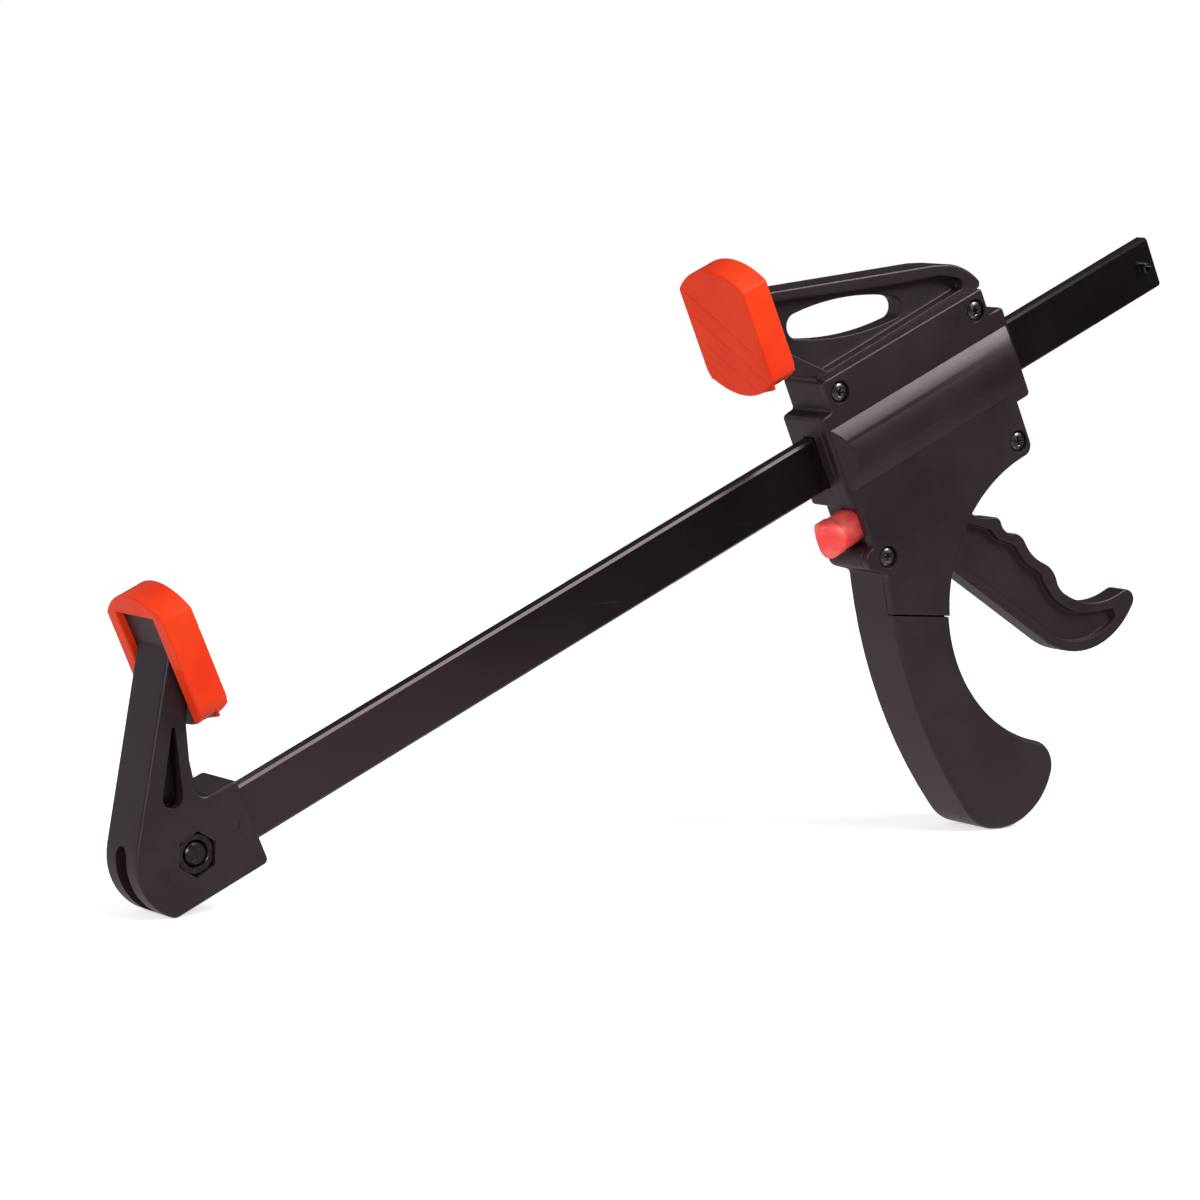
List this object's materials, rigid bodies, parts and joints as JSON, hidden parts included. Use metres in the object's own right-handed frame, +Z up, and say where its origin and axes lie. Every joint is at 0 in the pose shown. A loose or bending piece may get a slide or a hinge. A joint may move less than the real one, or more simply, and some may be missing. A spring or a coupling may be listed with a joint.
{
  "type": "quick release bar clamp",
  "caption": "One-hand bar clamp: a head with grip, squeeze trigger, release button and jaw slides on a flat bar with a padded jaw at its end.",
  "frame": {"origin": "middle of the bounding box at floor level, as the clamp lies on the heel of its fixed jaw and the end of its grip", "axes": "+Z up, +X from the fixed jaw to the head along the floor, Y across the clamp with the cover and its screws on -Y; the bar rises 24.4 degrees towards +X"},
  "size_m": [0.4459, 0.0376, 0.2198],
  "materials": {
    "body_plastic": "fine grained charcoal nylon, slightly warm",
    "cover_plastic": "fine grained charcoal nylon, a shade darker",
    "pad_rubber": "smooth satin orange-red elastomer",
    "button_plastic": "satin red moulding",
    "bar_coating": "smooth black coating with a soft gloss",
    "dark_steel": "blackened steel",
    "screw_steel": "blackened steel, bright where worn",
    "bright_steel": "zinc plated steel",
    "spring_steel": "bright spring wire"
  },
  "bodies": {
    "head": {"main_body": "body_plastic", "front_cover": "cover_plastic", "cover_screws": "screw_steel", "moving_jaw_pad": "pad_rubber", "trigger_pin": "bright_steel", "spring_seat": "bright_steel", "drive_spring": "spring_steel", "brake_spring": "spring_steel"},
    "bar_jaw": {"bar": "bar_coating", "bar_end_pin": "dark_steel", "fixed_jaw": "body_plastic", "jaw_bolt": "dark_steel", "jaw_washer": "dark_steel", "jaw_nut": "dark_steel", "fixed_jaw_pad": "pad_rubber"},
    "trigger": {"trigger": "body_plastic"},
    "drive_plates": {"drive_plate_front": "bright_steel", "drive_plate_rear": "bright_steel"},
    "brake": {"brake_plate": "bright_steel"},
    "button": {"release_button": "button_plastic"}
  },
  "joints": [
    {"name": "bar_slide", "type": "slide", "parent": "head", "child": "bar_jaw", "axis": [0.9106, 0, 0.4132], "range_m": [-0.0725, 0.2395]},
    {"name": "trigger_squeeze", "type": "hinge", "parent": "head", "child": "trigger", "pos_m": [0.11193, 0, 0.11858], "axis": [0, 1, 0], "range_deg": [0, 25], "stiffness_Nm_per_rad": 0.6, "springref_deg": -11.46},
    {"name": "drive_plate_slide", "type": "slide", "parent": "head", "child": "drive_plates", "axis": [0.9106, 0, 0.4132], "range_m": [0, 0.0075], "deforming": ["drive_spring"]},
    {"name": "brake_release", "type": "hinge", "parent": "head", "child": "brake", "pos_m": [0.07323, 0, 0.16032], "axis": [0, -1, 0], "range_deg": [0, 5.6], "deforming": ["brake_spring"]},
    {"name": "button_press", "type": "slide", "parent": "head", "child": "button", "axis": [0.9106, 0, 0.4132], "range_m": [0, 0.004], "stiffness_N_per_m": 800, "springref_m": -0.003}
  ],
  "couplings": [
    {"joint": "drive_plate_slide", "follows": "trigger_squeeze", "m_per_rad": 0.0165},
    {"joint": "brake_release", "follows": "button_press", "rad_per_m": 23.7}
  ]
}
